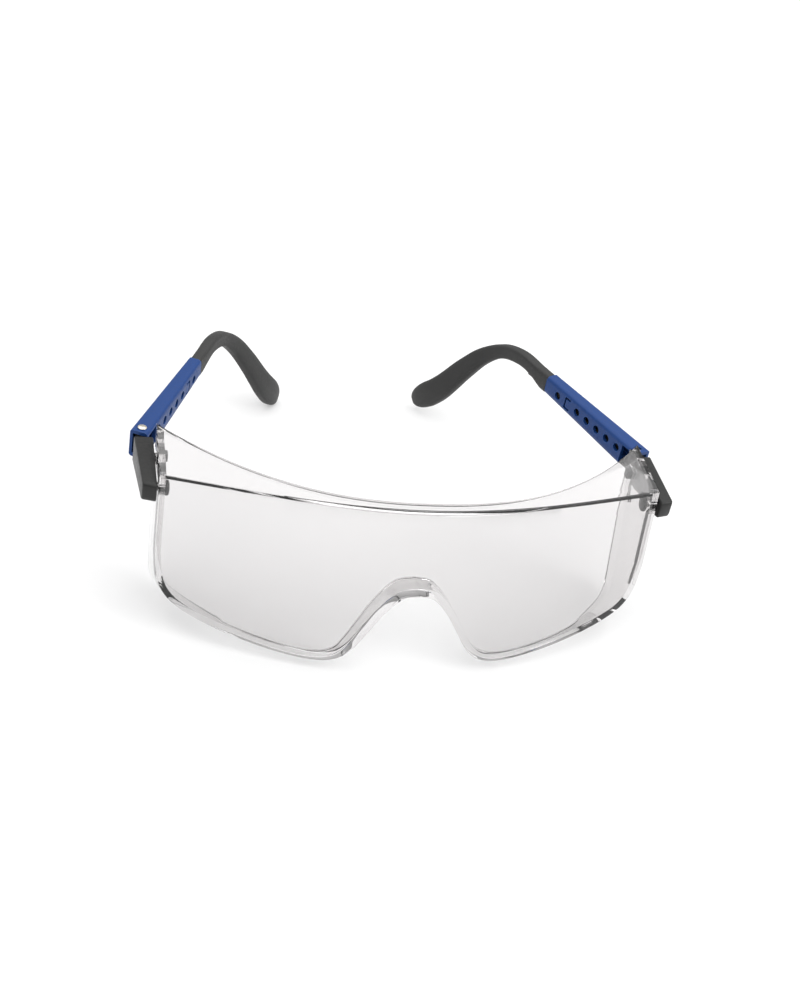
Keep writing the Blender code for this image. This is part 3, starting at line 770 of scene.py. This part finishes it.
def hook_rings():
    """Superellipses of power 0.6 carried square to the hook's curve. Half height and width run straight
    between stations; past 0.9 of the way both shrink as the root of 1 - 0.985 t^2.4 to a blunt tip."""
    where = np.linspace(0.0, 1.0, HOOK_SECTIONS) ** 0.9
    path = spline_at(HOOK_PATH, where)
    ahead = spline_at(HOOK_PATH, np.minimum(where + LOOK_AHEAD, 1.0))
    step = ahead - spline_at(HOOK_PATH, np.maximum(where - LOOK_AHEAD, 0.0))
    along = step / np.linalg.norm(step, axis=1)[:, None]
    rise = np.cross([1.0, 0.0, 0.0], along)
    rise /= np.linalg.norm(rise, axis=1)[:, None]
    aside = np.cross(along, rise)
    tip = np.clip((where - TIP_START) / (1.0 - TIP_START), 0.0, 1.0)
    lip = np.clip(where / LIP, 0.0, 1.0)
    size = np.sqrt(1.0 - TIP_CLOSED * tip**TIP_POWER) * (0.95 + 0.05 * np.sqrt(lip))
    tall = np.interp(where, *np.transpose(HOOK_COLLAR + HOOK_PADDLE)) * size
    wide = np.interp(where, *np.transpose(HOOK_HALF_WIDTH)) * size
    path = path + rise * np.interp(where, *np.transpose(HOOK_LIFT))[:, None]
    angle = np.linspace(0.0, 2.0 * math.pi, HOOK_AROUND, endpoint=False)
    c = np.sign(np.cos(angle)) * np.abs(np.cos(angle)) ** HOOK_SQUARENESS
    s = np.sign(np.sin(angle)) * np.abs(np.sin(angle)) ** HOOK_SQUARENESS
    across = aside[:, None] * (wide[:, None] * c)[..., None]
    return path[:, None] + across + rise[:, None] * (tall[:, None] * s)[..., None]


charcoal, charcoal_shader, charcoal_tint = finish_of(
    "charcoal_elastomer",
    CHARCOAL,
    roughness=0.55,
    rough_spread=0.06,
    grain_scale=2200.0,
    bump=0.6,
    bump_depth=0.0001,
    cloud_scale=1300.0,
    clouding=0.2,
)
# Paints a paler highlight along the ear hooks' edges.
with_painted_edge_highlight(charcoal, charcoal_shader, charcoal_tint, CHARCOAL_EDGE_HIGHLIGHT, 0.0005, 0.8)

for name, side in SIDES.items():
    _, on_temple = hinge_frames(side)
    strip = block_rings(
        (-STRIP_HALF, STRIP_FRONT, BORE_Z - STRIP_TALL_HALF),
        (STRIP_HALF, STRIP_TAIL, BORE_Z + STRIP_TALL_HALF),
    )
    slider = rounded(lofted("temple_slider", strip, on_temple), STRIP_ROUNDING)
    nib_y = FIRST_HOLE - HOLE_PITCH
    groove = block_rings(
        (-STRIP_HALF - 1.0, nib_y - (DIMPLES - 1) * HOLE_PITCH - DIMPLE_MARGIN, BORE_Z - GROOVE_HALF),
        (-STRIP_HALF + GROOVE_DEPTH, nib_y + DIMPLE_MARGIN, BORE_Z + GROOVE_HALF),
    )
    cutters = [lofted("strip_groove", groove, on_temple)]
    for k in range(DIMPLES):
        centre = (-STRIP_HALF - 1.0, nib_y - HOLE_PITCH * k, BORE_Z)
        dimple = turned([(0.0, DIMPLE_R), (2.0, DIMPLE_R)], centre, (1, 0, 0), 24)
        cutters.append(lofted(f"dimple_{k}", dimple, on_temple))
    carved(slider, cutters)
    finished(slider, black, name + "_arm", "temple_slider_" + name)

    hook = lofted("ear_hook", hook_rings(), on_temple)
    socket = block_rings(
        (-STRIP_HALF - GAP, 40.0, BORE_Z - STRIP_TALL_HALF - SOCKET_SPARE),
        (STRIP_HALF + GAP, STRIP_TAIL + GAP, BORE_Z + STRIP_TALL_HALF + SOCKET_SPARE),
    )
    carved(hook, [lofted("hook_socket", socket, on_temple)])
    finished(hook, charcoal, name + "_arm", "ear_hook_" + name, HOOK_SMOOTH_BELOW)

# ---------------------------------------------------------------- studio
# A plain white floor under a broad overhead softbox, a small softbox from the wearer's left, and
# a grey room that the clear edges can pick up. The camera looks down at the goggles' front left.

FLOOR_R = 3.0
FLOOR_RINGS = 12
FLOOR_AROUND = 48
FLOOR_WHITE = (0.55, 0.55, 0.55)
FLOOR_GLOW = 0.34
ROOM_LOW = 0.28
ROOM_HIGH = 0.95
CAMERA_PLACE = (-0.106746, -0.359146, 0.307082)
CAMERA_AZIMUTH = math.radians(-17.728)
CAMERA_ELEVATION = math.radians(38.177)
CAMERA_ROLL = math.radians(13.102)
CAMERA_LENS = 52.31

rings = np.linspace(0.02, 1.0, FLOOR_RINGS)[:, None, None] * FLOOR_R
angles = np.linspace(0.0, 2.0 * math.pi, FLOOR_AROUND, endpoint=False)
disc = np.stack([np.cos(angles), np.sin(angles), 0.0 * angles], -1)[None] * rings
disc_faces = grid_faces(FLOOR_RINGS, FLOOR_AROUND, around=True) + [list(range(FLOOR_AROUND))]
floor = mesh_object("floor", disc, disc_faces)
if floor.data.polygons[0].normal.z < 0.0:
    floor.data.flip_normals()
floor_finish, floor_shader, _ = finish_of(
    "white_floor",
    FLOOR_WHITE,
    roughness=0.8,
    rough_spread=0.02,
    grain_scale=300.0,
    bump=0.02,
    bump_depth=0.0001,
    cloud_scale=3.0,
    clouding=0.004,
)
floor_shader.inputs["Specular IOR Level"].default_value = 0.1
floor_shader.inputs["Emission Color"].default_value = (1.0, 1.0, 1.0, 1.0)
floor_shader.inputs["Emission Strength"].default_value = FLOOR_GLOW
floor.data.materials.append(floor_finish)


def softbox(name, place, size, power):
    """A square area light that points at the middle of the goggles."""
    light = bpy.data.lights.new(name, "AREA")
    light.size = size
    light.energy = power
    lamp = bpy.data.objects.new(name, light)
    lamp.location = place
    aim = Vector((0.0, 0.0, 0.02)) - Vector(place)
    lamp.rotation_euler = aim.to_track_quat("-Z", "Y").to_euler()
    bpy.context.scene.collection.objects.link(lamp)


softbox("overhead_softbox", (0.0, 0.1, 1.6), 4.0, 45.0)
softbox("side_softbox", (1.0, -0.45, 0.7), 0.5, 4.0)

world = bpy.data.worlds.new("grey_room")
bpy.context.scene.world = world
world.use_nodes = True
room = world.node_tree.nodes
background = room["Background"]
direction = room.new("ShaderNodeTexCoord")
height = room.new("ShaderNodeSeparateXYZ")
shade = room.new("ShaderNodeMapRange")
shade.inputs["From Min"].default_value = 0.0
shade.inputs["From Max"].default_value = 0.8
shade.inputs["To Min"].default_value = ROOM_LOW
shade.inputs["To Max"].default_value = ROOM_HIGH
world.node_tree.links.new(direction.outputs["Generated"], height.inputs["Vector"])
world.node_tree.links.new(height.outputs["Z"], shade.inputs["Value"])
world.node_tree.links.new(shade.outputs["Result"], background.inputs["Color"])

camera_data = bpy.data.cameras.new("camera")
camera_data.lens = CAMERA_LENS
camera_data.sensor_width = 36.0
camera_data.clip_start = 0.01
camera = bpy.data.objects.new("camera", camera_data)
level = math.cos(CAMERA_ELEVATION)
behind = Vector(
    (math.sin(CAMERA_AZIMUTH) * level, -math.cos(CAMERA_AZIMUTH) * level, math.sin(CAMERA_ELEVATION))
)
camera.location = CAMERA_PLACE
camera.rotation_mode = "QUATERNION"
camera.rotation_quaternion = behind.to_track_quat("Z", "Y") @ Quaternion((0.0, 0.0, 1.0), CAMERA_ROLL)
bpy.context.scene.collection.objects.link(camera)
bpy.context.scene.camera = camera
bpy.context.scene.view_settings.view_transform = "Standard"
